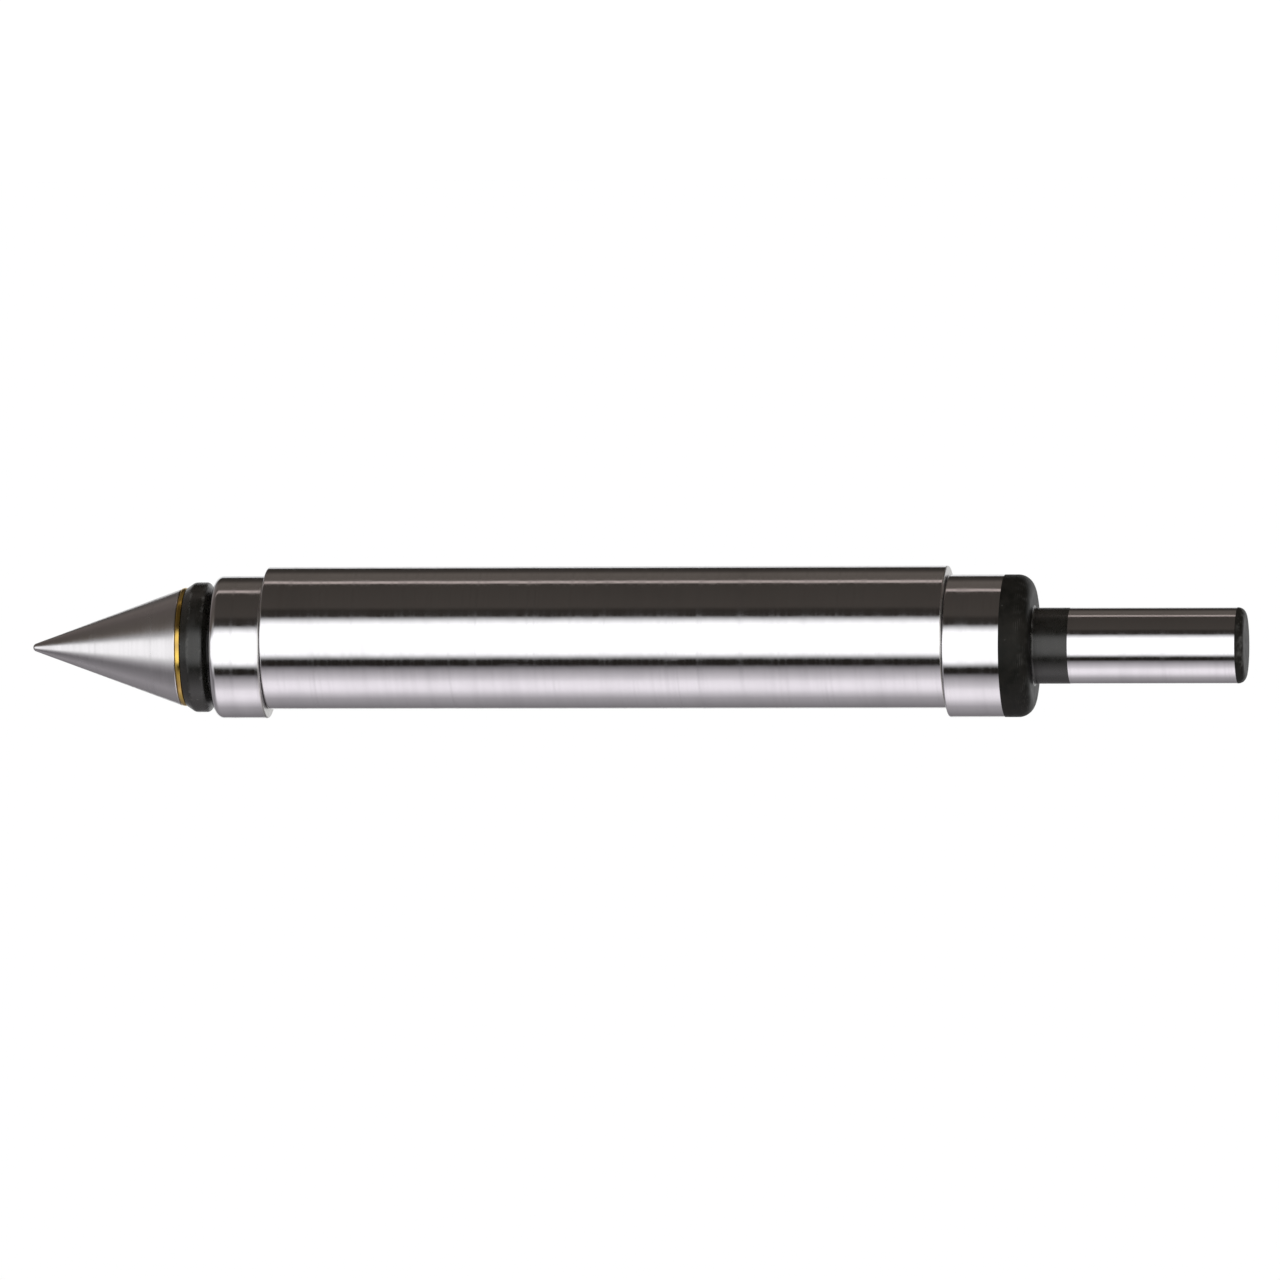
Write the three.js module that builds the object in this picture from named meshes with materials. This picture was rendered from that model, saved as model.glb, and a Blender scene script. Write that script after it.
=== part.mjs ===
// Double-end edge finder: a straight ground shank with a spring-held contact at each end.
// Units are millimetres. X runs along the shank from the pointed contact to the cylindrical one, Z is up.
// The origin is the middle of the shank's axis.
import * as THREE from 'three';

// ---- Driving dimensions ----
const SHANK_D = 9.525; // 3/8 in, the size a collet grips
const SHANK_LENGTH = 45.9;
const SHANK_BORE_D = 7.4;
const EDGE_BREAK = 0.15; // chamfer on sharp turned edges

const CONTACT_DROP = 0.6; // both contacts rest this far below the shank's axis
const FLOAT = 0.7; // how far a contact slides off the shank's axis in Y or Z
const FACE_GAP = 0.02; // oil film between faces that slide on each other
const FIT_GAP = 0.02; // radial gap where one piece is pressed or screwed into another
const RUNNING_GAP = 0.08; // radial gap where a rod turns in a hole
const REACH_GAP = 0.06; // what is left between a rod and its hole at the end of the float
const NUT_GAP = 0.04; // radial gap between the rod and a nut's plain hole

const BUSH_LENGTH = 4.0;
const ROD_R = 1.1;
const BUSH_HOLE_R = ROD_R + FLOAT * Math.SQRT2 + REACH_GAP;
const WASHER_R = SHANK_BORE_D / 2 - FLOAT * Math.SQRT2 - REACH_GAP;
const WASHER_EDGE = 0.06;
const SLIP_WASHER_HOLE_R = ROD_R + FLOAT + REACH_GAP;
const SLIP_WASHER_LENGTH = 0.5;
const SEAT_WASHER_LENGTH = 0.7;
const SPRING_LENGTH = 11.4;
const SPRING_WIRE_D = 0.6;
const SPRING_MEAN_R = 1.95;
const SPRING_TURNS = 8.5;
const SPRING_END_GAP = 0.06;
const CUP_LENGTH = 1.4;
const CUP_SLEEVE_LENGTH = 1.6;
const CUP_SLEEVE_R = 1.5;
const NUT_ACROSS_FLATS = 4.0;
const STOP_NUT_LENGTH = 1.6;
const LOCK_NUT_LENGTH = 1.1;
const ROD_STICK_OUT = 0.4;

const FLANGE_R = SHANK_D / 2;
const POINT_BAND_LENGTH = 3.5;
const POINT_BAND_CORNER_R = 0.95;
const NOTCH_R = 3.65;
const NOTCH_FLAT = 0.1;
const RIM_R = 4.35;
const RIM_LENGTH = 1.96;
const RIM_BEVEL = 0.5;
const CONE_BASE_R = 3.92;
const CONE_LENGTH = 10.16;
const CONE_TIP_R = 0.3;
const CONE_SPIGOT_R = 2.0;
const CONE_SPIGOT_LENGTH = 1.9;
const BRAZE_LENGTH = 0.33;
const BRAZE_PROUD = 0.03;
const POINT_SOCKET_DEPTH = 2.2;

const TIP_BAND_LENGTH = 3.78;
const SHOULDER_LENGTH = 1.95;
const SHOULDER_CORNER_R = 1.6;
const TIP_R = 2.54; // 0.200 in diameter
const TIP_LENGTH = 14.18;
const TIP_CORNER_R = 0.55;
const TIP_SOCKET_DEPTH = 3.6;

const OUTER_SIDES = 48;
const INNER_SIDES = 36;
const SPRING_STEPS_PER_TURN = 12;
const CORNER_STEPS = 5;

const HALF = SHANK_LENGTH / 2;

// ---- Materials ----
const metal = (color, roughness) => new THREE.MeshStandardMaterial({ color, roughness, metalness: 1 });
const GROUND_STEEL = metal(0xb9b6ba, 0.22);
const BLACKED_STEEL = metal(0x24231f, 0.45);
const SPRING_STEEL = metal(0x8f8f92, 0.3);
const BRASS = metal(0xc79a3a, 0.35);
const BRONZE = metal(0xa9764a, 0.4);
const ZINC_STEEL = metal(0xa7a9ac, 0.35);

// ---- Shapes ----

// Turns a closed [x, r] outline about X. Outer walls run towards +X and inner walls towards -X.
// LatheGeometry turns about Y, so the axes are then swapped in a cycle: Y to X, Z to Y, X to Z.
function turned(outline, sides) {
  const points = outline.map(([x, r]) => new THREE.Vector2(r, x));
  const yToX = new THREE.Matrix4().set(0, 1, 0, 0, 0, 0, 1, 0, 1, 0, 0, 0, 0, 0, 0, 1);
  return new THREE.LatheGeometry(points, sides).applyMatrix4(yToX);
}

// The same outline seen from the other end, still running the right way round.
function mirrored(outline) {
  return outline.map(([x, r]) => [-x, r]).reverse();
}

// Points of a round corner about (x, r), from one angle to another, in degrees from +X towards +r.
function corner(x, r, radius, fromDeg, toDeg, steps = CORNER_STEPS) {
  return Array.from({ length: steps + 1 }, (_, i) => {
    const angle = THREE.MathUtils.degToRad(fromDeg + ((toDeg - fromDeg) * i) / steps);
    return [x + radius * Math.cos(angle), r + radius * Math.sin(angle)];
  });
}

// A straight tube with broken edges.
function tube(x0, x1, innerR, outerR, edge) {
  return [
    [x0, innerR + edge],
    [x0, outerR - edge],
    [x0 + edge, outerR],
    [x1 - edge, outerR],
    [x1, outerR - edge],
    [x1, innerR + edge],
    [x1 - edge, innerR],
    [x0 + edge, innerR],
    [x0, innerR + edge],
  ];
}

class Helix extends THREE.Curve {
  constructor(x0, x1, radius, turns) {
    super();
    Object.assign(this, { x0, x1, radius, turns });
  }

  getPoint(t, target = new THREE.Vector3()) {
    const angle = 2 * Math.PI * this.turns * t;
    const x = THREE.MathUtils.lerp(this.x0, this.x1, t);
    return target.set(x, this.radius * Math.cos(angle), this.radius * Math.sin(angle));
  }
}

function springWire(x0, x1) {
  const inset = SPRING_END_GAP + SPRING_WIRE_D / 2;
  const path = new Helix(x0 + inset, x1 - inset, SPRING_MEAN_R, SPRING_TURNS);
  const section = new THREE.Shape().absarc(0, 0, SPRING_WIRE_D / 2, 0, 2 * Math.PI);
  const steps = Math.round(SPRING_TURNS * SPRING_STEPS_PER_TURN);
  const sweep = { steps, curveSegments: 4, extrudePath: path, bevelEnabled: false };
  return new THREE.ExtrudeGeometry(section, sweep);
}

function hexNut(x0, length) {
  const cornerR = NUT_ACROSS_FLATS / Math.sqrt(3);
  const outline = new THREE.Shape(
    Array.from({ length: 6 }, (_, i) => {
      const angle = (i * Math.PI) / 3;
      return new THREE.Vector2(cornerR * Math.cos(angle), cornerR * Math.sin(angle));
    }),
  );
  outline.holes.push(new THREE.Path().absarc(0, 0, ROD_R + NUT_GAP, 0, 2 * Math.PI, true));
  const nut = new THREE.ExtrudeGeometry(outline, { depth: length, curveSegments: 12, bevelEnabled: false });
  const zToX = new THREE.Matrix4().set(0, 0, 1, 0, 1, 0, 0, 0, 0, 1, 0, 0, 0, 0, 0, 1);
  return nut.applyMatrix4(zToX).translate(x0, 0, 0);
}

function named(name, geometry, material) {
  const mesh = new THREE.Mesh(geometry, material);
  mesh.name = name;
  return mesh;
}

// ---- Shank: the ground tube and the hardened bush pressed into each end ----

function shank() {
  const group = new THREE.Group();
  const boreR = SHANK_BORE_D / 2;
  const outside = tube(-HALF, HALF, boreR, SHANK_D / 2, EDGE_BREAK);
  const bush = tube(-HALF, -HALF + BUSH_LENGTH, BUSH_HOLE_R, boreR - FIT_GAP, EDGE_BREAK);
  group.add(
    named('shank_tube', turned(outside, OUTER_SIDES), GROUND_STEEL),
    named('point_end_bush', turned(bush, OUTER_SIDES), GROUND_STEEL),
    named('tip_end_bush', turned(mirrored(bush), OUTER_SIDES), GROUND_STEEL),
  );
  return group;
}

// ---- Pointed contact: cone, braze and flange, whose outlines run from the point at -X inwards ----

const POINT_BACK = -HALF - FACE_GAP;
const NOTCH_X = POINT_BACK - POINT_BAND_LENGTH;
const RIM_FRONT = NOTCH_X - RIM_LENGTH;
const BRAZE_FRONT = RIM_FRONT - FACE_GAP - BRAZE_LENGTH;
const CONE_BACK = BRAZE_FRONT - FACE_GAP;

function pointFlange() {
  const cornerX = NOTCH_X + POINT_BAND_CORNER_R;
  const bandCorner = corner(cornerX, FLANGE_R - POINT_BAND_CORNER_R, POINT_BAND_CORNER_R, 180, 90);
  const spigotHoleR = CONE_SPIGOT_R + FIT_GAP;
  const rodHoleR = ROD_R + FIT_GAP;
  const spigotHoleEnd = RIM_FRONT + CONE_SPIGOT_LENGTH;
  const rodHoleEnd = POINT_BACK - POINT_SOCKET_DEPTH;
  const frontHalf = [
    [spigotHoleEnd, 0],
    [spigotHoleEnd, spigotHoleR],
    [RIM_FRONT, spigotHoleR],
    [RIM_FRONT, CONE_BASE_R],
    [RIM_FRONT + RIM_BEVEL, RIM_R],
    [NOTCH_X - RIM_BEVEL, RIM_R],
    [NOTCH_X - NOTCH_FLAT, NOTCH_R],
    [NOTCH_X, NOTCH_R],
  ];
  const backHalf = [
    [POINT_BACK - EDGE_BREAK, FLANGE_R],
    [POINT_BACK, FLANGE_R - EDGE_BREAK],
    [POINT_BACK, rodHoleR],
    [rodHoleEnd, rodHoleR],
    [rodHoleEnd, 0],
  ];
  return [...frontHalf, ...bandCorner, ...backHalf];
}

function locatingCone() {
  const halfAngle = Math.atan((CONE_BASE_R - CONE_TIP_R) / CONE_LENGTH);
  const front = CONE_BACK - CONE_LENGTH;
  const tipEndDeg = 90 + THREE.MathUtils.radToDeg(halfAngle);
  const tip = corner(front + CONE_TIP_R, 0, CONE_TIP_R, 180, tipEndDeg, 4);
  tip[0][1] = 0;
  const spigotEnd = RIM_FRONT + CONE_SPIGOT_LENGTH - FIT_GAP;
  return [
    ...tip,
    [CONE_BACK, CONE_BASE_R],
    [CONE_BACK, CONE_SPIGOT_R],
    [spigotEnd - EDGE_BREAK, CONE_SPIGOT_R],
    [spigotEnd, CONE_SPIGOT_R - EDGE_BREAK],
    [spigotEnd, 0],
  ];
}

function brazeRing() {
  return [
    [BRAZE_FRONT, CONE_SPIGOT_R + FIT_GAP],
    [BRAZE_FRONT, CONE_BASE_R],
    [RIM_FRONT - FACE_GAP, CONE_BASE_R + BRAZE_PROUD],
    [RIM_FRONT - FACE_GAP, CONE_SPIGOT_R + FIT_GAP],
    [BRAZE_FRONT, CONE_SPIGOT_R + FIT_GAP],
  ];
}

// ---- Cylindrical contact: flange, round shoulder and measuring tip, turned in one piece ----

function tipContact() {
  const back = HALF + FACE_GAP;
  const shoulderFace = back + TIP_BAND_LENGTH + SHOULDER_LENGTH;
  const tipEnd = shoulderFace + TIP_LENGTH;
  const holeR = ROD_R + FIT_GAP;
  const shoulderX = shoulderFace - SHOULDER_CORNER_R;
  const shoulder = corner(shoulderX, FLANGE_R - SHOULDER_CORNER_R, SHOULDER_CORNER_R, 90, 0, 8);
  const tipCorner = corner(tipEnd - TIP_CORNER_R, TIP_R - TIP_CORNER_R, TIP_CORNER_R, 90, 0);
  return [
    [back + TIP_SOCKET_DEPTH, 0],
    [back + TIP_SOCKET_DEPTH, holeR],
    [back, holeR],
    [back, FLANGE_R - EDGE_BREAK],
    [back + EDGE_BREAK, FLANGE_R],
    [back + TIP_BAND_LENGTH, FLANGE_R],
    ...shoulder,
    [shoulderFace, TIP_R],
    ...tipCorner,
    [tipEnd, 0],
  ];
}

// ---- Draw train behind each contact, laid out from the point end at -X inwards ----

const SLIP_X = -HALF + BUSH_LENGTH + FACE_GAP;
const SEAT_X = SLIP_X + SLIP_WASHER_LENGTH + FACE_GAP;
const SPRING_X = SEAT_X + SEAT_WASHER_LENGTH;
const CUP_X = SPRING_X + SPRING_LENGTH;
const STOP_NUT_X = CUP_X + CUP_LENGTH + FACE_GAP;
const LOCK_NUT_X = STOP_NUT_X + STOP_NUT_LENGTH + FACE_GAP;
const ROD_INNER_X = LOCK_NUT_X + LOCK_NUT_LENGTH + ROD_STICK_OUT;

function drawRod(socketDepth) {
  const outerX = POINT_BACK - socketDepth + FIT_GAP;
  return [
    [outerX, 0],
    [outerX, ROD_R - EDGE_BREAK],
    [outerX + EDGE_BREAK, ROD_R],
    [ROD_INNER_X - EDGE_BREAK, ROD_R],
    [ROD_INNER_X, ROD_R - EDGE_BREAK],
    [ROD_INNER_X, 0],
  ];
}

// A flat flange that holds the spring, with a short sleeve inside the coils.
function springCup() {
  const holeR = ROD_R + RUNNING_GAP;
  return [
    [CUP_X - CUP_SLEEVE_LENGTH, holeR],
    [CUP_X - CUP_SLEEVE_LENGTH, CUP_SLEEVE_R],
    [CUP_X, CUP_SLEEVE_R],
    [CUP_X, WASHER_R],
    [CUP_X + CUP_LENGTH - EDGE_BREAK, WASHER_R],
    [CUP_X + CUP_LENGTH, WASHER_R - EDGE_BREAK],
    [CUP_X + CUP_LENGTH, holeR],
    [CUP_X - CUP_SLEEVE_LENGTH, holeR],
  ];
}

// All the pieces that one contact's rod carries. side is -1 at the point end and +1 at the tip end.
function drawTrain(end, side, socketDepth) {
  const placed = (outline) => turned(side < 0 ? outline : mirrored(outline), INNER_SIDES);
  const nutAt = (x, length) => hexNut(side < 0 ? x : -x - length, length);
  const springEnds = side < 0 ? [SPRING_X, CUP_X] : [-CUP_X, -SPRING_X];
  const slipWasher = tube(SLIP_X, SEAT_X - FACE_GAP, SLIP_WASHER_HOLE_R, WASHER_R, WASHER_EDGE);
  const seatWasher = tube(SEAT_X, SPRING_X, ROD_R + RUNNING_GAP, WASHER_R, WASHER_EDGE);
  return [
    named(`${end}_slip_washer`, placed(slipWasher), BRONZE),
    named(`${end}_seat_washer`, placed(seatWasher), ZINC_STEEL),
    named(`${end}_spring`, springWire(...springEnds), SPRING_STEEL),
    named(`${end}_spring_cup`, placed(springCup()), ZINC_STEEL),
    named(`${end}_draw_rod`, placed(drawRod(socketDepth)), ZINC_STEEL),
    named(`${end}_stop_nut`, nutAt(STOP_NUT_X, STOP_NUT_LENGTH), ZINC_STEEL),
    named(`${end}_lock_nut`, nutAt(LOCK_NUT_X, LOCK_NUT_LENGTH), ZINC_STEEL),
  ];
}

// ---- Assembly ----

const edgeFinder = new THREE.Group();
edgeFinder.add(shank());

const pointEnd = new THREE.Group();
pointEnd.position.z = -CONTACT_DROP;
pointEnd.add(
  named('locating_cone', turned(locatingCone(), OUTER_SIDES), GROUND_STEEL),
  named('braze_ring', turned(brazeRing(), OUTER_SIDES), BRASS),
  named('point_flange', turned(pointFlange(), OUTER_SIDES), BLACKED_STEEL),
  ...drawTrain('point', -1, POINT_SOCKET_DEPTH),
);

const tipEnd = new THREE.Group();
tipEnd.position.z = -CONTACT_DROP;
tipEnd.add(
  named('tip_contact', turned(tipContact(), OUTER_SIDES), BLACKED_STEEL),
  ...drawTrain('tip', 1, TIP_SOCKET_DEPTH),
);

edgeFinder.add(pointEnd, tipEnd);

export default edgeFinder;
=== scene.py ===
"""Double-end edge finder: a ground shank with a spring-held point at one end and a flanged tip at the other.

Outlines are in millimetres in the part's frame: X along the shank, Z up, origin at the shank's middle.
Every piece but the springs is turned about its own axis, and each stands for the CAD node in its place.
"""

import math

import bpy
import numpy as np
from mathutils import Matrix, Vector

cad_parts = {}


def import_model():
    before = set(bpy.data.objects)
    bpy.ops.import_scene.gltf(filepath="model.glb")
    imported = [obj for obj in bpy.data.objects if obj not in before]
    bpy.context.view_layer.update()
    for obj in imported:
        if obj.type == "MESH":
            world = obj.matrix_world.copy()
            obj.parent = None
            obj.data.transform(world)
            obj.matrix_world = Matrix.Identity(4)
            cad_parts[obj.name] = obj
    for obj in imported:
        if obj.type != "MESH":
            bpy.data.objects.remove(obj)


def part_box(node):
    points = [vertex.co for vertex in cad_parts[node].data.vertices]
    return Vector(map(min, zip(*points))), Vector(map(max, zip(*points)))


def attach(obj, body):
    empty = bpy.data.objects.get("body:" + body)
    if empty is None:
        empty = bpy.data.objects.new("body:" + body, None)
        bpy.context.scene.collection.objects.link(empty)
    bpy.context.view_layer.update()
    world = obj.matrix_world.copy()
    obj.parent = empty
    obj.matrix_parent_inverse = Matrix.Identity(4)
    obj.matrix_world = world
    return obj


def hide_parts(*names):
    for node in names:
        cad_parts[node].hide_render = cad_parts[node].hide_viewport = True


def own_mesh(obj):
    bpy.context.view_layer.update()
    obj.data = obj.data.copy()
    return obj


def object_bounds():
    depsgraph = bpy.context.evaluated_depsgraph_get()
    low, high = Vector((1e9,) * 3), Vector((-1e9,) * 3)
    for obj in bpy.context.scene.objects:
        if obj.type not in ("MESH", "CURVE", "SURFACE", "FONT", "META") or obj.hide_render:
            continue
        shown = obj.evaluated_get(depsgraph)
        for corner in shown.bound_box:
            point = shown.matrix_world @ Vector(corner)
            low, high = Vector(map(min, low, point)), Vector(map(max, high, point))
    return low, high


MM = 0.001
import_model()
cad_low, cad_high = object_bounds()
scene = bpy.context.scene


# ---------------------------------------------------------------- sizes


def span(node):
    """A node's first and last X, in millimetres."""
    low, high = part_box(node)
    return low.x / MM, high.x / MM


def radius(node):
    low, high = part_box(node)
    return (high.y - low.y) / 2 / MM


def axis_height(node):
    low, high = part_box(node)
    return (low.z + high.z) / 2 / MM


POINT_Z = axis_height("point_flange")
TIP_Z = axis_height("tip_contact")
ROD_R = radius("point_draw_rod")

BORE_R = 3.7
BUSH_HOLE_R = 2.15
SLIP_HOLE_R = 1.86
RUNNING_GAP = 0.08  # radial gap where a rod turns in a hole
FIT_GAP = 0.02  # radial gap where one piece is screwed or pressed into another

CONE_LENGTH = 10.16
CONE_BASE_R = 3.92
CONE_TIP_R = 0.28
CONE_EDGE_R = 0.05
SPIGOT_R = 2.0
BRAZE_PROUD = 0.02  # how far the braze stands out beside the cone
BRAZE_SPREAD = 0.06  # and how far beside the rim
BRAZE_WANDER = 0.025
BAND_LENGTH = 3.5  # the bright band of the pointed contact's flange
BAND_CORNER_R = 0.95
NOTCH_R = 3.65
NOTCH_FLAT = 0.1
RIM_R = 4.35
RIM_FRONT_BEVEL = 0.55
RIM_BACK_BEVEL = 0.4
POINT_SOCKET_DEPTH = 2.2

TIP_BAND_LENGTH = 3.78
SHOULDER_LENGTH = 1.95
SHOULDER_R = 1.6
NECK_LENGTH = 2.42
TIP_R = 2.54
TIP_DARK_LENGTH = 0.56
TIP_CORNER_R = 0.55
TIP_ROOT_R = 0.16  # the fillet where the neck meets the shoulder
TIP_SOCKET_DEPTH = 3.6

CUP_SLEEVE_LENGTH = 1.6
CUP_SLEEVE_R = 1.5
CUP_FLANGE_LENGTH = 1.4
NUT_FLATS = 4.0
NUT_CHAMFER_DEG = 30
THREAD_PITCH = 0.45
THREAD_DEPTH = 0.12
WIRE_R = 0.3
SPRING_MEAN_R = 1.95
SPRING_TURNS = 8.5
CLOSED_TURNS = 1.0  # at each end, where the coils lie against each other

EDGE_R = 0.12  # the round on a broken edge
SEGMENTS = 160
SMALL_SEGMENTS = 72
LONGEST_RUN = 1.2  # straight runs are divided at least this often
GUARD = 0.03  # a ring this close to each arc keeps the straight run beside it flat
SHARP_ANGLE = 32  # degrees between faces from which their edge is sharp


# ---------------------------------------------------------------- outlines


def arc(x, r, size, start_deg, end_deg, steps=10):
    """Points of a round corner about (x, r), with angles from +X towards +r."""
    angles = np.radians(np.linspace(start_deg, end_deg, steps + 1))
    return [(x + size * math.cos(a), r + size * math.sin(a)) for a in angles]


def smoothed(corners, closed=False):
    """Turns [(x, r, fillet, slot)] into [(x, r, wear, slot)] with each fillet as an arc.

    wear is 1 in the middle of a rounded edge and 0 on the runs between. A run takes the slot of the
    corner that starts it. A fillet is made smaller where its corner's runs have no room for it.
    """
    corners = [tuple(c) + (0.0, 0)[len(c) - 2 :] for c in corners]
    count = len(corners)
    out = []
    for i, (x, r, size, slot) in enumerate(corners):
        at_end = i in (0, count - 1) and not closed
        if size <= 0 or at_end:
            out.append((x, r, 0.0, slot))
            continue
        here = Vector((x, r))
        before, after = corners[i - 1], corners[(i + 1) % count]
        to_last, to_next = Vector(before[:2]) - here, Vector(after[:2]) - here
        half = to_last.angle(to_next) / 2
        room_before = to_last.length * (0.48 if before[2] > 0 else 0.96)
        room_after = to_next.length * (0.48 if after[2] > 0 else 0.96)
        reach = min(size / math.tan(half), room_before, room_after)
        size = reach * math.tan(half)
        middle = here + (to_last.normalized() + to_next.normalized()).normalized() * (size / math.sin(half))
        first = here + to_last.normalized() * reach - middle
        last = here + to_next.normalized() * reach - middle
        start = math.atan2(first.y, first.x)
        turn = (math.atan2(last.y, last.x) - start + math.pi) % (2 * math.pi) - math.pi
        steps = 5 if size < 0.3 else 12
        for k in range(steps + 1):
            angle = start + turn * k / steps
            spot = middle + Vector((math.cos(angle), math.sin(angle))) * size
            out.append((spot.x, spot.y, math.sin(math.pi * k / steps), slot))
    return out


def divided(outline, closed=False):
    """Adds guard rings beside the arcs and rings along the long straight runs."""
    out = []
    following = outline[1:] + (outline[:1] if closed else [])
    for here, there in zip(outline, following):
        out.append(here)
        a, b = Vector(here[:2]), Vector(there[:2])
        length = (b - a).length
        if length < 4 * GUARD:
            continue
        inner = max(1, math.ceil((length - 2 * GUARD) / LONGEST_RUN))
        for k in range(inner + 1):
            t = (GUARD + (length - 2 * GUARD) * k / inner) / length
            spot = a.lerp(b, t)
            out.append((spot.x, spot.y, 0.0, here[3]))
    return out if closed else out + [outline[-1]]


# ---------------------------------------------------------------- meshes


def finished(name, points, faces, slots, materials, wear=None):
    """A smooth-shaded object in metres from points in millimetres, with sharp edges where faces turn."""
    mesh = bpy.data.meshes.new(name)
    mesh.from_pydata([tuple(c * MM for c in p) for p in points], [], faces)
    mesh.polygons.foreach_set("material_index", slots)
    mesh.polygons.foreach_set("use_smooth", [True] * len(faces))
    for m in materials:
        mesh.materials.append(m)
    if wear is not None:
        mesh.attributes.new("wear", "FLOAT", "POINT").data.foreach_set("value", wear)
    mesh.update()
    mesh.set_sharp_from_angle(angle=math.radians(SHARP_ANGLE))
    piece = bpy.data.objects.new(name, mesh)
    scene.collection.objects.link(piece)
    return piece


def turned(name, outline, height, materials, segments=SEGMENTS, closed=False, shape=None):
    """Turns [(x, r, wear, slot)] about the line z = height. Outer walls run towards +X.

    An open outline starts and ends on the axis. shape(x, r, angle) may move each point.
    """
    points, wear, rings = [], [], []
    for x, r, rub, _ in outline:
        turns = 1 if r < 1e-6 else segments
        rings.append(range(len(points), len(points) + turns))
        for j in range(turns):
            angle = 2 * math.pi * j / segments
            px, pr = shape(x, r, angle) if shape else (x, r)
            points.append((px, pr * math.cos(angle), height + pr * math.sin(angle)))
            wear.append(rub)
    faces, slots = [], []
    pairs = list(zip(range(len(rings)), range(1, len(rings))))
    if closed:
        pairs.append((len(rings) - 1, 0))
    for a, b in pairs:
        low, high, slot = rings[a], rings[b], outline[a][3]
        for j in range(segments):
            k = (j + 1) % segments
            if len(low) == 1:
                faces.append((low[0], high[k], high[j]))
            elif len(high) == 1:
                faces.append((low[j], low[k], high[0]))
            else:
                faces.append((low[j], low[k], high[k], high[j]))
            slots.append(slot)
    return finished(name, points, faces, slots, materials, wear)


def stands_for(piece, node, body):
    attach(piece, body)
    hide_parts(node)
    return piece


def mirrored(corners):
    """The same outline for the other end of the tool, still running the right way round."""
    return [(-c[0],) + tuple(c[1:]) for c in reversed(corners)]


# ---------------------------------------------------------------- materials


class Tree:
    """A material's nodes, made and joined in short calls."""

    def __init__(self, name, **shader):
        self.material = bpy.data.materials.new(name)
        self.material.use_nodes = True
        self.tree = self.material.node_tree
        self.shader = self.tree.nodes["Principled BSDF"]
        for socket, value in shader.items():
            self.shader.inputs[socket.replace("_", " ")].default_value = value
        self.place = self.add("ShaderNodeTexCoord").outputs["Object"]

    def add(self, kind, inputs=None, **settings):
        node = self.tree.nodes.new(kind)
        for key, value in settings.items():
            setattr(node, key, value)
        for key, value in (inputs or {}).items():
            self.join(value, node.inputs[key])
        return node

    def join(self, value, socket):
        if isinstance(value, bpy.types.NodeSocket):
            self.tree.links.new(value, socket)
        else:
            socket.default_value = value

    def math(self, operation, a, b=0.0):
        return self.add("ShaderNodeMath", {0: a, 1: b}, operation=operation).outputs[0]

    def noise(self, scale, detail=3.0, roughness=0.5, shift=0.0):
        """Noise at each axis's own scale per metre, from 0 to 1."""
        spot = self.add(
            "ShaderNodeMapping", {"Vector": self.place, "Scale": scale, "Location": (shift,) * 3}
        )
        made = self.add(
            "ShaderNodeTexNoise",
            {"Vector": spot.outputs[0], "Scale": 1.0, "Detail": detail, "Roughness": roughness},
        )
        return made.outputs[0]

    def between(self, value, low, high, to_low=0.0, to_high=1.0):
        """value's run from low to high becomes to_low to to_high, and stays inside them."""
        made = self.add(
            "ShaderNodeMapRange",
            {"Value": value, "From Min": low, "From Max": high, "To Min": to_low, "To Max": to_high},
        )
        return made.outputs[0]

    def mix(self, amount, a, b):
        made = self.add("ShaderNodeMix", data_type="RGBA")
        self.join(amount, made.inputs[0])
        self.join(a, made.inputs[6])
        self.join(b, made.inputs[7])
        return made.outputs[2]

    def bump(self, height, strength, distance):
        made = self.add("ShaderNodeBump", {"Height": height, "Strength": strength, "Distance": distance})
        self.join(made.outputs[0], self.shader.inputs["Normal"])


def rgb(r, g, b):
    return (r, g, b, 1.0)


def ground_steel(name, tint=(0.74, 0.73, 0.75), roughness=0.1):
    """Cylindrically ground hardened steel: fine lines round the axis, soft bands, faint handling marks.

    The surface also waves very slightly round the axis, which breaks up thin reflections.
    """
    t = Tree(name, Metallic=1.0)
    lines = t.noise((4600, 60, 60), detail=2.0)
    bands = t.noise((1100, 35, 35), detail=3.0, shift=3.1)
    smudge = t.noise((160, 210, 210), detail=4.0, shift=7.7)
    waves = t.noise((650, 320, 320), detail=2.0, shift=4.4)
    marks = t.between(t.noise((260, 2600, 2600), detail=3.0, shift=1.3), 0.66, 0.72)
    texture = t.math("ADD", t.math("MULTIPLY", lines, 0.5), t.math("MULTIPLY", bands, 0.5))
    worn = t.math("ADD", texture, t.math("MULTIPLY", marks, 0.12))
    t.join(t.between(worn, 0.36, 0.66, roughness - 0.05, roughness + 0.06), t.shader.inputs["Roughness"])
    light = rgb(*tint)
    dull = rgb(*(c * 0.84 for c in tint))
    blend = t.math("MULTIPLY", t.between(smudge, 0.42, 0.75), t.between(bands, 0.3, 0.7))
    grooves = t.math("MULTIPLY", t.between(texture, 0.5, 0.68), 0.5)
    t.join(t.mix(t.math("MAXIMUM", blend, grooves), light, dull), t.shader.inputs["Base Color"])
    t.bump(t.math("ADD", waves, t.math("MULTIPLY", worn, 0.12)), 1.0, 0.000012)
    return t.material


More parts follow.
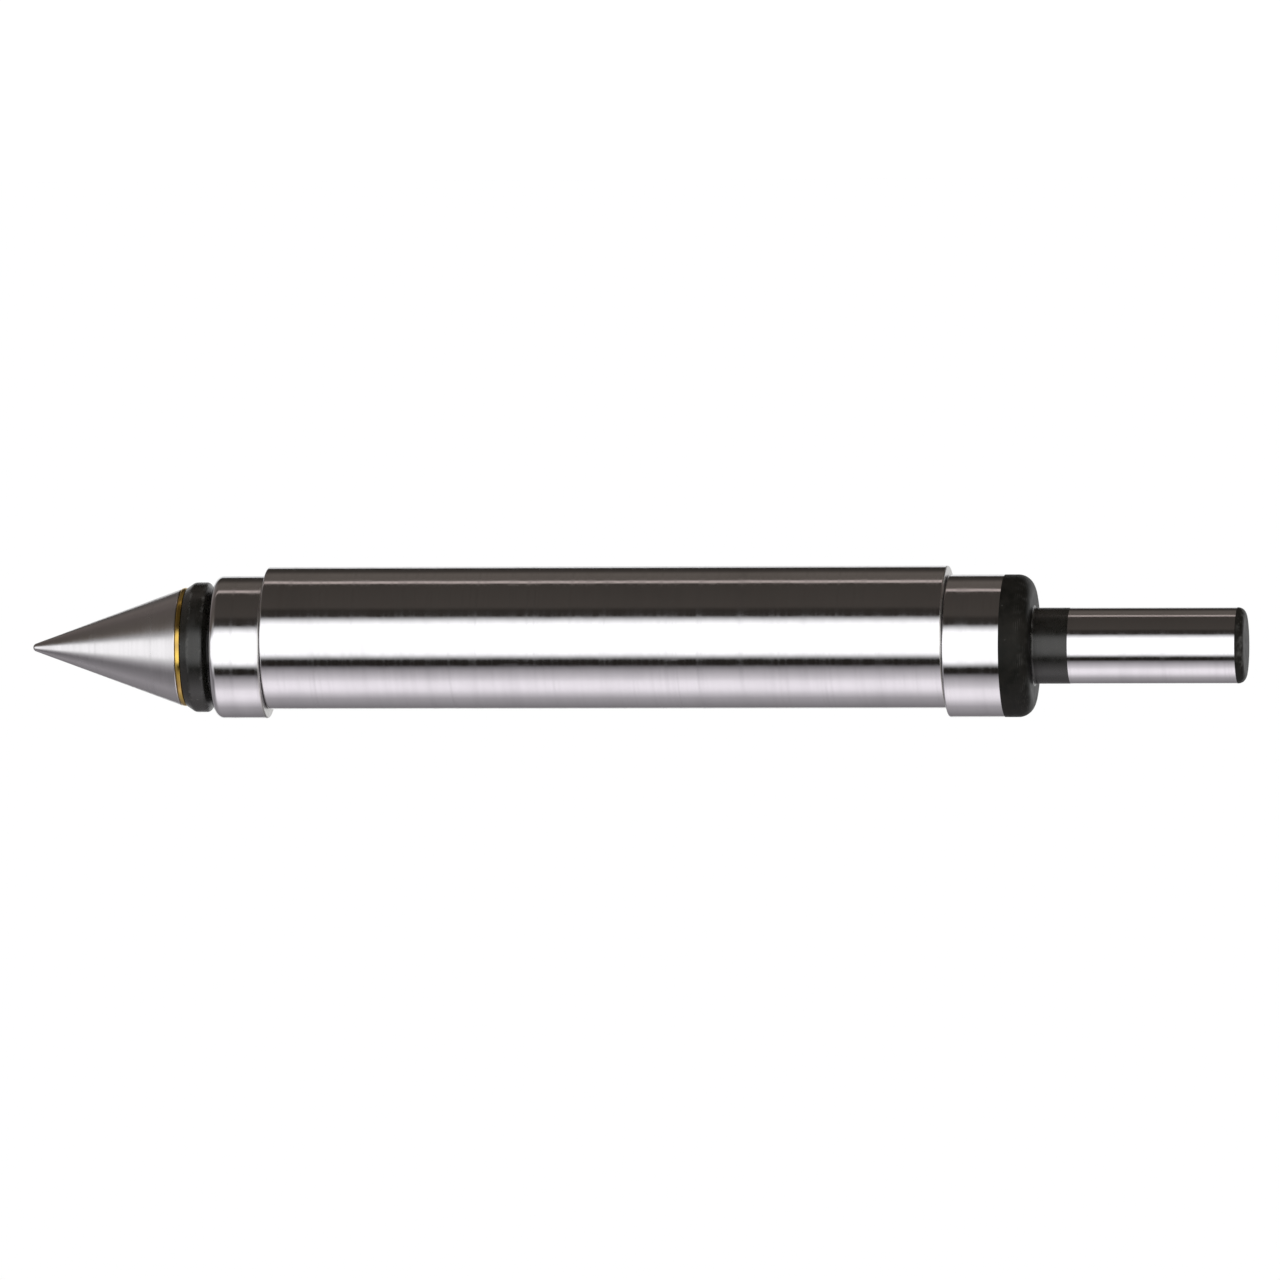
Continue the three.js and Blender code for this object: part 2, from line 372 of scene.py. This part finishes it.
def lapped_steel(name):
    """The flat sliding faces: a soft satin with oil smears and fine random scratches."""
    t = Tree(name, Metallic=1.0)
    grain = t.noise((1500, 2600, 2600), detail=2.0)
    smear = t.noise((500, 420, 420), detail=4.0, shift=2.0)
    scratch = t.between(t.noise((900, 1900, 420), detail=2.0, shift=5.0), 0.55, 0.8, 0.0, 0.5)
    t.join(t.between(grain, 0.3, 0.7, 0.26, 0.36), t.shader.inputs["Roughness"])
    film = t.mix(t.between(smear, 0.35, 0.7), rgb(0.62, 0.61, 0.60), rgb(0.55, 0.535, 0.51))
    t.join(t.mix(scratch, film, rgb(0.70, 0.69, 0.68)), t.shader.inputs["Base Color"])
    t.bump(t.noise((250, 300, 300), detail=1.0, shift=8.0), 0.05, 0.00002)
    return t.material


def black_oxide(name, shine=0.45, roughness=0.3):
    """Blacked steel over turning marks, browner in random patches, rubbed bright in specks along its edges.
    """
    t = Tree(name, Specular_IOR_Level=shine)
    turning = t.noise((4200, 70, 70), detail=2.0, shift=5.0)
    mottle = t.noise((1500, 1500, 1500), detail=5.0, roughness=0.6)
    patch = t.noise((260, 260, 260), detail=3.0, shift=4.0)
    rubbed = t.add("ShaderNodeAttribute", attribute_name="wear").outputs["Fac"]
    flecks = t.between(t.noise((2100, 2100, 2100), detail=4.0, shift=9.0), 0.48, 0.72)
    edge = t.math("MULTIPLY", rubbed, flecks)
    speck = t.between(t.noise((2400, 2400, 2400), detail=2.0, shift=6.0), 0.74, 0.8, 0.0, 0.2)
    bare = t.math("MAXIMUM", t.math("MULTIPLY", edge, 0.14), speck)
    oxide = t.mix(t.between(mottle, 0.35, 0.7), rgb(0.0045, 0.0047, 0.0034), rgb(0.011, 0.0098, 0.0078))
    oxide = t.mix(t.math("MULTIPLY", t.between(patch, 0.45, 0.75), 0.5), oxide, rgb(0.017, 0.0145, 0.0115))
    t.join(t.mix(bare, oxide, rgb(0.42, 0.41, 0.40)), t.shader.inputs["Base Color"])
    t.join(t.math("MULTIPLY", bare, 0.9), t.shader.inputs["Metallic"])
    coarse = t.math("ADD", t.math("MULTIPLY", turning, 0.35), t.math("MULTIPLY", mottle, 0.65))
    t.join(t.between(coarse, 0.3, 0.7, roughness - 0.06, roughness + 0.1), t.shader.inputs["Roughness"])
    t.bump(mottle, 0.06, 0.00003)
    return t.material


def braze(name):
    """Brass braze: yellow, slightly uneven and heat tinted."""
    t = Tree(name, Metallic=1.0)
    flow = t.noise((1300, 900, 900), detail=4.0)
    tinted = t.between(t.noise((420, 420, 420), detail=2.0, shift=3.0), 0.5, 0.8)
    colour = t.mix(flow, rgb(0.83, 0.58, 0.12), rgb(0.66, 0.42, 0.10))
    t.join(t.mix(tinted, colour, rgb(0.30, 0.19, 0.09)), t.shader.inputs["Base Color"])
    t.join(t.between(flow, 0.3, 0.7, 0.14, 0.26), t.shader.inputs["Roughness"])
    t.bump(flow, 0.15, 0.00004)
    return t.material


def cast_or_plated(name, light, dark, roughness, scale=2600.0):
    """Small fittings: turned metal with a plated or oiled skin that varies over it."""
    t = Tree(name, Metallic=1.0)
    turning = t.noise((scale, 90, 90), detail=2.0)
    skin = t.noise((700, 700, 700), detail=4.0, shift=2.5)
    t.join(t.mix(skin, rgb(*light), rgb(*dark)), t.shader.inputs["Base Color"])
    t.join(t.between(skin, 0.3, 0.7, roughness - 0.05, roughness + 0.1), t.shader.inputs["Roughness"])
    both = t.math("ADD", t.math("MULTIPLY", turning, 0.6), t.math("MULTIPLY", skin, 0.4))
    t.bump(both, 0.15, 0.00003)
    return t.material


GROUND = ground_steel("ground_steel")
GROUND_CONE = ground_steel("ground_cone", tint=(0.68, 0.665, 0.68), roughness=0.22)
LAPPED = lapped_steel("lapped_steel")
BLACKED = black_oxide("blacked_steel", shine=0.62, roughness=0.26)
BLACKED_COLLAR = black_oxide("blacked_collar", shine=0.12, roughness=0.42)
BRAZE = braze("braze")
BRONZE = cast_or_plated("oiled_bronze", (0.62, 0.38, 0.2), (0.42, 0.25, 0.13), 0.3)
PLATED = cast_or_plated("zinc_plate", (0.72, 0.73, 0.75), (0.56, 0.57, 0.6), 0.28)
WIRE = cast_or_plated("spring_wire", (0.5, 0.5, 0.51), (0.34, 0.33, 0.33), 0.24, scale=900.0)


# ---------------------------------------------------------------- the shank


def ring_piece(name, node, body, material, hole_r, height, edge=EDGE_R, segments=SMALL_SEGMENTS):
    """A plain turned ring that fills its CAD node, with rounded edges."""
    x0, x1 = span(node)
    outer = radius(node)
    corners = [
        (x0, hole_r, edge),
        (x0, outer, edge),
        (x1, outer, edge),
        (x1, hole_r, edge),
    ]
    outline = divided(smoothed(corners, closed=True), closed=True)
    piece = turned(name, outline, height, [material], segments, closed=True)
    return stands_for(piece, node, body)


def shank():
    x0, x1 = span("shank_tube")
    outer = radius("shank_tube")
    corners = [
        (x0, BORE_R, EDGE_R, 1),
        (x0, outer, EDGE_R, 0),
        (x1, outer, EDGE_R, 1),
        (x1, BORE_R, EDGE_R, 1),
    ]
    outline = divided(smoothed(corners, closed=True), closed=True)
    piece = turned("ground_shank", outline, 0.0, [GROUND, LAPPED], closed=True)
    stands_for(piece, "shank_tube", "shank")
    for end in ("point", "tip"):
        ring_piece(f"{end}_face_bush", f"{end}_end_bush", "shank", LAPPED, BUSH_HOLE_R, 0.0)


# ---------------------------------------------------------------- the pointed contact


def locating_cone():
    front, spigot_end = span("locating_cone")
    base = front + CONE_LENGTH
    lean = math.degrees(math.atan((CONE_BASE_R - CONE_TIP_R) / CONE_LENGTH))
    nose = arc(front + CONE_TIP_R, 0.0, CONE_TIP_R, 180, 90 + lean, 8)
    outline = [(front, 0.0, 0.0, 0)] + [(x, r, 0.0, 0) for x, r in nose[1:]]
    back = smoothed(
        [
            (nose[-1][0], nose[-1][1]),
            (base, CONE_BASE_R, CONE_EDGE_R),
            (base, SPIGOT_R, CONE_EDGE_R),
            (spigot_end, SPIGOT_R, EDGE_R),
            (spigot_end, 0.0),
        ]
    )
    piece = turned("cone", divided(outline + back[1:]), POINT_Z, [GROUND_CONE])
    stands_for(piece, "locating_cone", "pointed_contact")


def braze_line():
    """The braze stands a little proud of the cone's base, and its edge wanders."""
    x0, x1 = span("braze_ring")
    corners = [
        (x0, SPIGOT_R + FIT_GAP, 0.02),
        (x0, CONE_BASE_R + BRAZE_PROUD, 0.1),
        (x1, CONE_BASE_R + BRAZE_SPREAD, 0.1),
        (x1, SPIGOT_R + FIT_GAP, 0.02),
    ]

    def wander(x, r, angle):
        swell = BRAZE_WANDER * (math.sin(5 * angle + 0.7) + 0.6 * math.sin(11 * angle + 2.0))
        return x, r + (swell if r > CONE_BASE_R - 0.3 else 0.0)

    outline = divided(smoothed(corners, closed=True), closed=True)
    piece = turned("braze_line", outline, POINT_Z, [BRAZE], closed=True, shape=wander)
    stands_for(piece, "braze_ring", "pointed_contact")


def point_flange():
    front, back = span("point_flange")
    flange_r = radius("point_flange")
    notch = back - BAND_LENGTH
    spigot_hole = span("locating_cone")[1] + FIT_GAP
    socket = back - POINT_SOCKET_DEPTH
    black, bright, face = 0, 1, 2
    corners = [
        (spigot_hole, 0.0, 0.0, face),
        (spigot_hole, SPIGOT_R + FIT_GAP, 0.0, face),
        (front, SPIGOT_R + FIT_GAP, 0.0, black),
        (front, CONE_BASE_R + 0.05, 0.06, black),
        (front + RIM_FRONT_BEVEL, RIM_R, 0.45, black),
        (notch - NOTCH_FLAT - RIM_BACK_BEVEL, RIM_R, 0.3, black),
        (notch - NOTCH_FLAT, NOTCH_R, 0.08, black),
        (notch, NOTCH_R, 0.05, bright),
        (notch, flange_r, BAND_CORNER_R, bright),
        (back, flange_r, EDGE_R, face),
        (back, ROD_R + FIT_GAP, EDGE_R, face),
        (socket, ROD_R + FIT_GAP, 0.0, face),
        (socket, 0.0, 0.0, face),
    ]
    piece = turned("pointed_flange", divided(smoothed(corners)), POINT_Z, [BLACKED, GROUND, LAPPED])
    stands_for(piece, "point_flange", "pointed_contact")


# ---------------------------------------------------------------- the cylindrical contact


def tip_contact():
    back, end = span("tip_contact")
    flange_r = radius("tip_contact")
    band_end = back + TIP_BAND_LENGTH
    face_x = band_end + SHOULDER_LENGTH
    neck_end = face_x + NECK_LENGTH
    dark_start = end - TIP_DARK_LENGTH
    socket = back + TIP_SOCKET_DEPTH
    black, bright, face, collar = 0, 1, 2, 3
    corners = [
        (socket, 0.0, 0.0, face),
        (socket, ROD_R + FIT_GAP, 0.0, face),
        (back, ROD_R + FIT_GAP, EDGE_R, face),
        (back, flange_r, EDGE_R, bright),
        (band_end, flange_r, 0.0, collar),
        (face_x, flange_r, SHOULDER_R, collar),
        (face_x, TIP_R, TIP_ROOT_R, black),
        (neck_end, TIP_R, 0.0, bright),
        (dark_start, TIP_R, 0.0, collar),
        (end, TIP_R, TIP_CORNER_R, collar),
        (end, 0.0, 0.0, collar),
    ]
    materials = [BLACKED, GROUND, LAPPED, BLACKED_COLLAR]
    piece = turned("measuring_tip", divided(smoothed(corners)), TIP_Z, materials)
    stands_for(piece, "tip_contact", "cylindrical_contact")


# ---------------------------------------------------------------- the draw train inside each end


def thread_wave(x, angle):
    """0 on a thread's crest and 1 in its root, along a right-hand helix."""
    turn = (x / THREAD_PITCH - angle / (2 * math.pi)) % 1.0
    return 1 - abs(2 * turn - 1)


def threaded_runs(x0, x1, runs):
    """Rings from x0 to x1 on a rod, close together in each threaded run."""
    stops = sorted({x0, x1, *[e for run in runs for e in run]})
    xs = []
    for a, b in zip(stops, stops[1:]):
        inside = any(lo <= (a + b) / 2 <= hi for lo, hi in runs)
        step = THREAD_PITCH / 8 if inside else LONGEST_RUN
        xs += list(np.linspace(a, b, max(2, math.ceil((b - a) / step) + 1)))[:-1]
    return xs + [x1]


def draw_rod(end, height, socket_depth):
    """A rod threaded where it enters the contact and where its nuts sit."""
    node = f"{end}_draw_rod"
    x0, x1 = span(node)
    nut_low = min(span(f"{end}_stop_nut")[0], span(f"{end}_lock_nut")[0])
    nut_high = max(span(f"{end}_stop_nut")[1], span(f"{end}_lock_nut")[1])
    if end == "point":
        runs = [(x0 + EDGE_R, x0 + socket_depth), (nut_low - 1.0, x1 - EDGE_R)]
    else:
        runs = [(x0 + EDGE_R, nut_high + 1.0), (x1 - socket_depth, x1 - EDGE_R)]

    def threaded(x, r, angle):
        for low, high in runs:
            fade = min(1.0, (x - low) / THREAD_PITCH, (high - x) / THREAD_PITCH)
            if fade > 0 and r > ROD_R - 0.01:
                return x, r - THREAD_DEPTH * fade * thread_wave(x, angle)
        return x, r

    body = [(x, ROD_R, 0.0, 0) for x in threaded_runs(x0 + EDGE_R, x1 - EDGE_R, runs)]
    first = [(x0, 0.0, 0.0, 0), (x0, ROD_R - EDGE_R, 0.0, 0)]
    last = [(x1, ROD_R - EDGE_R, 0.0, 0), (x1, 0.0, 0.0, 0)]
    outline = first + body + last
    piece = turned(f"{end}_threaded_rod", outline, height, [PLATED], SMALL_SEGMENTS, shape=threaded)
    contact = "pointed_contact" if end == "point" else "cylindrical_contact"
    stands_for(piece, node, contact)


def nut(end, which, height):
    """A hexagon nut, chamfered at both faces, with a threaded hole."""
    node = f"{end}_{which}_nut"
    x0, x1 = span(node)
    face_r = NUT_FLATS / 2 * 0.96
    hole_r = ROD_R + 2 * FIT_GAP
    slope = math.tan(math.radians(NUT_CHAMFER_DEG))
    flat_ring, edge_ring = 3.0, 10.0  # radii that only mark a ring for hexagonal()

    def hexagonal(x, r, angle):
        if r < face_r - 0.01:
            inside = x0 + EDGE_R < x < x1 - EDGE_R
            return x, r + (THREAD_DEPTH * thread_wave(x, angle) if inside else 0.0)
        if r < face_r + 0.01:
            return x, r
        side = (angle + math.pi / 6) % (math.pi / 3) - math.pi / 6
        across = NUT_FLATS / 2 / math.cos(side)
        drop = (across - face_r) * slope
        if r == edge_ring:  # where a chamfer meets the flats
            return (x0 + drop if x < (x0 + x1) / 2 else x1 - drop), across
        return x, across

    outer = [
        (x0, face_r),
        (x0 + 0.1, edge_ring),
        ((x0 + x1) / 2, flat_ring),
        (x1 - 0.1, edge_ring),
        (x1, face_r),
    ]
    steps = max(8, round((x1 - x0) / (THREAD_PITCH / 8)))
    bore = [(x1, hole_r + EDGE_R)]
    bore += [(x, hole_r) for x in np.linspace(x1 - EDGE_R, x0 + EDGE_R, steps)]
    bore += [(x0, hole_r + EDGE_R)]
    outline = [(x, r, 0.0, 0) for x, r in outer + bore]
    piece = turned(
        f"{end}_{which}_hex_nut", outline, height, [PLATED], SMALL_SEGMENTS, closed=True, shape=hexagonal
    )
    contact = "pointed_contact" if end == "point" else "cylindrical_contact"
    stands_for(piece, node, contact)


def spring_cup(end, height):
    """A flanged cup: the spring sits round its sleeve and pushes on its flange."""
    node = f"{end}_spring_cup"
    x0, x1 = span(node)
    outer = radius(node)
    hole_r = ROD_R + RUNNING_GAP
    low = -x1 if end == "tip" else x0
    step = low + CUP_SLEEVE_LENGTH
    high = step + CUP_FLANGE_LENGTH
    corners = [
        (low, hole_r, 0.08),
        (low, CUP_SLEEVE_R, 0.2),
        (step, CUP_SLEEVE_R, 0.08),
        (step, outer, 0.1),
        (high, outer, 0.3),
        (high, hole_r, 0.1),
    ]
    if end == "tip":
        corners = mirrored(corners)
    outline = divided(smoothed(corners, closed=True), closed=True)
    piece = turned(f"{end}_cup", outline, height, [PLATED], SMALL_SEGMENTS, closed=True)
    stands_for(piece, node, f"{end}_draw")


def spring(end, height):
    """A compression spring whose end coils lie close and are ground flat."""
    node = f"{end}_spring"
    x0, x1 = span(node)
    per_turn, around = 40, 14
    total = round(SPRING_TURNS * per_turn)
    open_turns = SPRING_TURNS - 2 * CLOSED_TURNS
    first, last = x0 + WIRE_R * 0.6, x1 - WIRE_R * 0.6
    tight = 2.05 * WIRE_R

    def along(turn):
        if turn < CLOSED_TURNS:
            return first + tight * turn
        if turn > SPRING_TURNS - CLOSED_TURNS:
            return last - tight * (SPRING_TURNS - turn)
        share = (turn - CLOSED_TURNS) / open_turns
        eased = share + 0.03 * math.sin(2 * math.pi * share)
        start, stop = first + tight * CLOSED_TURNS, last - tight * CLOSED_TURNS
        return start + (stop - start) * eased

    points, faces = [], []
    for i in range(total + 1):
        turn = SPRING_TURNS * i / total
        angle = 2 * math.pi * turn
        centre = Vector((along(turn), SPRING_MEAN_R * math.cos(angle), SPRING_MEAN_R * math.sin(angle)))
        out = Vector((0, math.cos(angle), math.sin(angle)))
        for j in range(around):
            a = 2 * math.pi * j / around
            spot = centre + out * (WIRE_R * math.cos(a)) + Vector((1, 0, 0)) * (WIRE_R * math.sin(a))
            points.append((min(max(spot.x, x0), x1), spot.y, spot.z + height))
    for i in range(total):
        for j in range(around):
            k = (j + 1) % around
            a, b = i * around, (i + 1) * around
            faces.append((a + j, b + j, b + k, a + k))
    faces.append(tuple(range(around)))
    faces.append(tuple(total * around + j for j in reversed(range(around))))
    piece = finished(f"{end}_coil_spring", points, faces, [0] * len(faces), [WIRE])
    stands_for(piece, node, f"{end}_seat")
    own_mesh(piece)


def draw_train(end, height, socket_depth):
    """Everything that holds one contact against the shank's end face."""
    seat_hole_r = ROD_R + RUNNING_GAP
    for kind, slot, material, hole_r, edge in (
        ("slip", "bronze", BRONZE, SLIP_HOLE_R, 0.06),
        ("seat", "plated_steel", PLATED, seat_hole_r, 0.08),
    ):
        name, node, body = f"{end}_{kind}_ring", f"{end}_{kind}_washer", f"{end}_{kind}"
        ring_piece(name, node, body, material, hole_r, height, edge)
    spring(end, height)
    spring_cup(end, height)
    draw_rod(end, height, socket_depth)
    nut(end, "stop", height)
    nut(end, "lock", height)


# ---------------------------------------------------------------- floor, light and camera


CAMERA_AZIMUTH = 7.5
CAMERA_ELEVATION = 3.0
CAMERA_ROLL = 0.5
LENS = 600.0
SENSOR = 36.0
VIEW_WIDTH = 85.62  # millimetres across the frame at the tool
VIEW_CENTRE = (2.13, 0.0, -0.17)
FLOOR_DROP = 0.15  # metres below the tool, which a collet holds up
FLOOR_HALF = 6.0
FLOOR_GREY = 0.92
WHITE = 1.09  # the world's strength: a floor of FLOOR_GREY under it comes out white

# Brightness of the tent by angle about the shank, in degrees: 0 faces the camera's side, 90 is overhead.
# Each stop is (angle, brightness, tint). The walls beyond the pointed end are a separate, duller set.
PLAIN = (1.0, 1.0, 1.0)
WARM = (1.0, 0.87, 0.76)
ROSE = (1.0, 0.86, 0.8)
LILAC = (1.0, 0.955, 0.995)
TENT = [
    (-161, 0.85, PLAIN), (-156, 0.2, LILAC), (-145, 0.24, LILAC), (-127, 0.34, LILAC),
    (-113, 0.44, LILAC), (-102, 0.7, LILAC), (-92, 1.0, LILAC), (-83, 1.12, LILAC), (-74, 1.06, LILAC),
    (-66, 0.78, LILAC), (-58, 0.58, LILAC), (-51, 0.4, LILAC), (-45, 0.18, LILAC), (-42, 0.02, WARM),
    (-33, 0.02, WARM), (-29, 0.5, PLAIN), (-24, 1.3, PLAIN), (-20, 1.5, PLAIN), (24, 1.5, PLAIN),
    (29, 1.1, PLAIN), (35, 0.4, PLAIN), (38, 0.035, WARM), (48, 0.035, WARM), (54, 0.066, WARM),
    (101, 0.055, WARM), (103, 0.55, ROSE), (107, 0.55, ROSE), (109, 0.12, WARM), (128, 0.13, WARM),
    (140, 0.05, WARM), (156, 0.03, WARM), (161, 0.85, PLAIN),
]
TENT_LEFT = [
    (-180, 0.35, LILAC), (-122, 0.27, LILAC), (-107, 0.34, LILAC), (-91, 0.28, LILAC), (-62, 0.19, LILAC),
    (-48, 0.36, LILAC), (-33, 0.8, PLAIN), (-24, 1.35, PLAIN), (21, 1.35, PLAIN), (34, 0.5, PLAIN),
    (50, 0.16, WARM), (67, 0.11, WARM), (111, 0.12, ROSE), (130, 0.2, ROSE), (180, 0.35, PLAIN),
]
TENT_PEAK = 1.5
TENT_LEFT_STARTS = (-0.2, -0.45)  # metres along X, where one set of walls gives way to the next
TENT_RIGHT_STARTS = (0.7, 1.0)
TENT_RIGHT = 0.35  # brightness of the walls beyond the tip
TENT_END = 0.45  # brightness of its two end walls
TENT_RADIUS = 0.6
TENT_HALF_LENGTH = 2.5


def floor():
    half = FLOOR_HALF
    z = cad_low.z - FLOOR_DROP
    mesh = bpy.data.meshes.new("floor")
    corners = [(-half, -half, z), (half, -half, z), (half, half, z), (-half, half, z)]
    mesh.from_pydata(corners, [], [(0, 1, 2, 3)])
    piece = bpy.data.objects.new("floor", mesh)
    scene.collection.objects.link(piece)
    grey = rgb(FLOOR_GREY, FLOOR_GREY, FLOOR_GREY)
    t = Tree("pale_floor", Base_Color=grey, Roughness=0.9, Specular_IOR_Level=0.0)
    mesh.materials.append(t.material)
    piece.visible_glossy = False


def tent_ramp(t, share, stops):
    """A colour ramp once round the tent."""
    ramp = t.add("ShaderNodeValToRGB", {"Fac": share})
    elements = ramp.color_ramp.elements
    elements.remove(elements[-1])
    for i, (degrees, value, tint) in enumerate(stops):
        at = (degrees + 180) / 360
        stop = elements[0] if i == 0 else elements.new(at)
        stop.position = at
        stop.color = rgb(*(value / TENT_PEAK * c for c in tint))
    return ramp.outputs["Color"]


def tent_material():
    """Light from all round the shank, bright and dark by its angle about X."""
    t = Tree("tent", Base_Color=rgb(0, 0, 0), Specular_IOR_Level=0.0)
    parts = t.add("ShaderNodeSeparateXYZ", {0: t.place})
    angle = t.math("ARCTAN2", parts.outputs["Z"], t.math("MULTIPLY", parts.outputs["Y"], -1.0))
    share = t.between(angle, -math.pi, math.pi)
    left = t.between(parts.outputs["X"], *TENT_LEFT_STARTS)
    light = t.mix(left, tent_ramp(t, share, TENT), tent_ramp(t, share, TENT_LEFT))
    t.join(light, t.shader.inputs["Emission Color"])
    strength = t.between(parts.outputs["X"], *TENT_RIGHT_STARTS, TENT_PEAK, TENT_PEAK * TENT_RIGHT)
    t.join(strength, t.shader.inputs["Emission Strength"])
    return t.material


def glossy_only(piece):
    """The piece is seen in reflections and nowhere else."""
    piece.visible_camera = False
    piece.visible_diffuse = False
    piece.visible_transmission = False
    piece.visible_shadow = False


def tent():
    """A long round tent about the shank's axis, closed at both ends."""
    around = 96
    points = []
    for x in (-TENT_HALF_LENGTH, TENT_HALF_LENGTH):
        for j in range(around):
            a = 2 * math.pi * j / around
            points.append((x, -TENT_RADIUS * math.cos(a), TENT_RADIUS * math.sin(a)))
    walls = [(j, (j + 1) % around, around + (j + 1) % around, around + j) for j in range(around)]
    ends = [tuple(range(around)), tuple(range(around, 2 * around))]
    grey = Tree("tent_end", Base_Color=rgb(0, 0, 0), Specular_IOR_Level=0.0, Emission_Strength=TENT_END)
    grey.shader.inputs["Emission Color"].default_value = rgb(1, 0.98, 0.97)
    for name, faces, material in (("tent", walls, tent_material()), ("tent_ends", ends, grey.material)):
        mesh = bpy.data.meshes.new(name)
        mesh.from_pydata(points, [], faces)
        mesh.materials.append(material)
        piece = bpy.data.objects.new(name, mesh)
        scene.collection.objects.link(piece)
        glossy_only(piece)


def world():
    """White all round, with colours shown as they are."""
    made = bpy.data.worlds.new("white_studio")
    scene.world = made
    made.use_nodes = True
    background = made.node_tree.nodes["Background"]
    background.inputs["Color"].default_value = rgb(1, 1, 1)
    background.inputs["Strength"].default_value = WHITE
    made.cycles_visibility.glossy = False
    scene.view_settings.view_transform = "Standard"
    scene.view_settings.look = "None"


def camera():
    """A long lens, a little round towards the tip's end and a little above."""
    data = bpy.data.cameras.new("camera")
    data.lens = LENS
    data.sensor_width = SENSOR
    data.clip_start = 0.01
    data.clip_end = 20.0
    made = bpy.data.objects.new("camera", data)
    scene.collection.objects.link(made)
    a, e = math.radians(CAMERA_AZIMUTH), math.radians(CAMERA_ELEVATION)
    back = Vector((math.sin(a) * math.cos(e), -math.cos(a) * math.cos(e), math.sin(e)))
    made.location = Vector(VIEW_CENTRE) * MM + back * (VIEW_WIDTH * MM * LENS / SENSOR)
    aim = (-back).to_track_quat("-Z", "Y")
    made.rotation_euler = aim.to_euler()
    made.rotation_euler.rotate_axis("Z", math.radians(-CAMERA_ROLL))
    scene.camera = made


# ---------------------------------------------------------------- the whole tool


camera()
world()
floor()
tent()
shank()
locating_cone()
braze_line()
point_flange()
tip_contact()
draw_train("point", POINT_Z, POINT_SOCKET_DEPTH)
draw_train("tip", TIP_Z, TIP_SOCKET_DEPTH)
